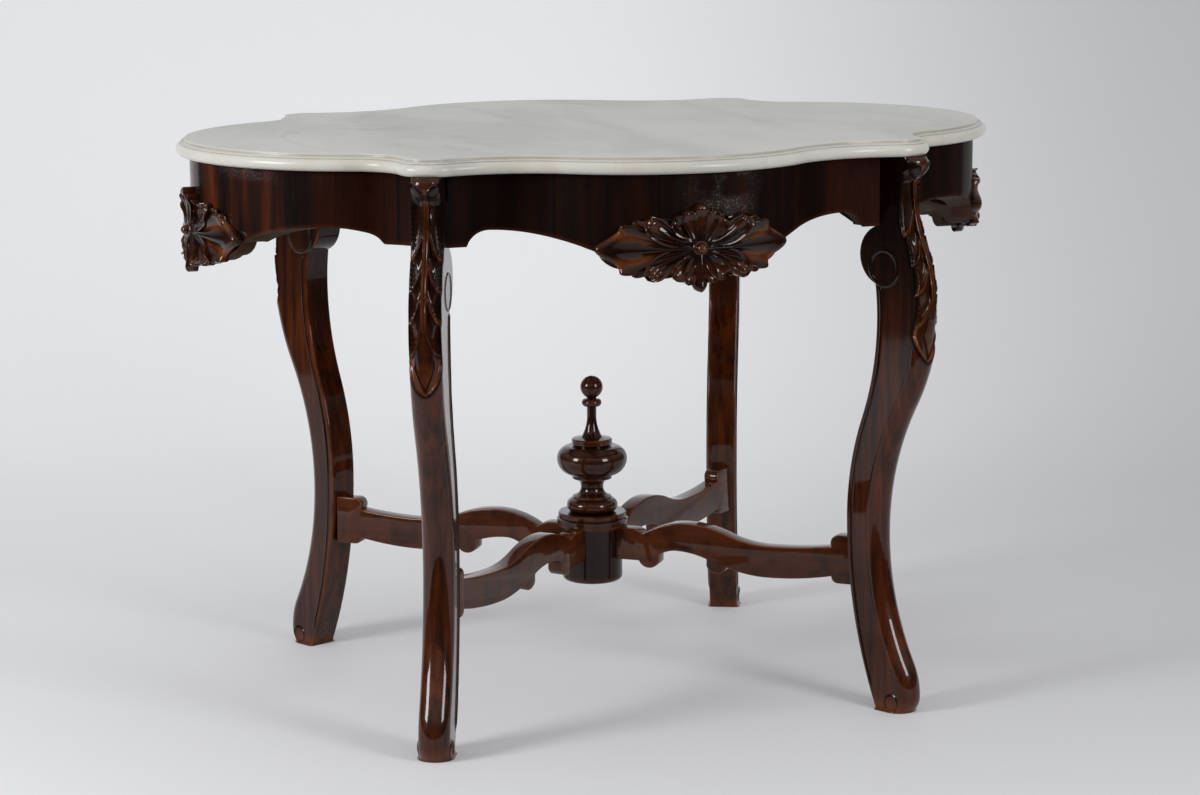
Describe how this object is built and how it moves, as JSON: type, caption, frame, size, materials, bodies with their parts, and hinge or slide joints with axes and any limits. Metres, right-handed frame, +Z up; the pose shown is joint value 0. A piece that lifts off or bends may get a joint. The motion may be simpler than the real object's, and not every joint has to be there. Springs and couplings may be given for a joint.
{
  "type": "pier table",
  "caption": "Serpentine marble-topped parlour table on carved scroll legs, with curved aprons, applied carvings and a shaped stretcher under a turned finial; the loose slab lifts off.",
  "frame": {"origin": "on the floor, under the middle of the slab", "axes": "+X along the length, -Y to the front, +Z up"},
  "size_m": [1.09, 0.82, 0.74],
  "materials": {
    "marble": "polished, slightly worn",
    "veneer_wood": "old dark polish over upright grain",
    "carved_wood": "glossy dark polish, darker in the cuts",
    "leg_wood": "glossy dark polish, rubbed on the edges",
    "carcase_wood": "unpolished secondary wood",
    "screw_steel": "dull old steel"
  },
  "bodies": {
    "base": {"apron_dowels": "carcase_wood", "apron_front": "carcase_wood", "apron_left": "carcase_wood", "apron_rear": "carcase_wood", "apron_right": "carcase_wood", "carving_front": "carved_wood", "carving_left": "carved_wood", "carving_rear": "carved_wood", "carving_right": "carved_wood", "centre_rail": "carcase_wood", "corner_block_front_left": "carcase_wood", "corner_block_front_right": "carcase_wood", "corner_block_rear_left": "carcase_wood", "corner_block_rear_right": "carcase_wood", "corner_screws": "screw_steel", "finial": "leg_wood", "leg_front_left": "leg_wood", "leg_front_right": "leg_wood", "leg_rear_left": "leg_wood", "leg_rear_right": "leg_wood", "stretcher_arm_front_left": "leg_wood", "stretcher_arm_front_right": "leg_wood", "stretcher_arm_rear_left": "leg_wood", "stretcher_arm_rear_right": "leg_wood", "stretcher_dowels": "carcase_wood", "stretcher_hub": "leg_wood", "veneer_front": "veneer_wood", "veneer_left": "veneer_wood", "veneer_rear": "veneer_wood", "veneer_right": "veneer_wood"},
    "marble_top": {"marble_top": "marble"}
  },
  "joints": [
    {"name": "top_lift", "type": "slide", "parent": "base", "child": "marble_top", "axis": [0, 0, 1], "range_m": [0, 0.15]}
  ]
}
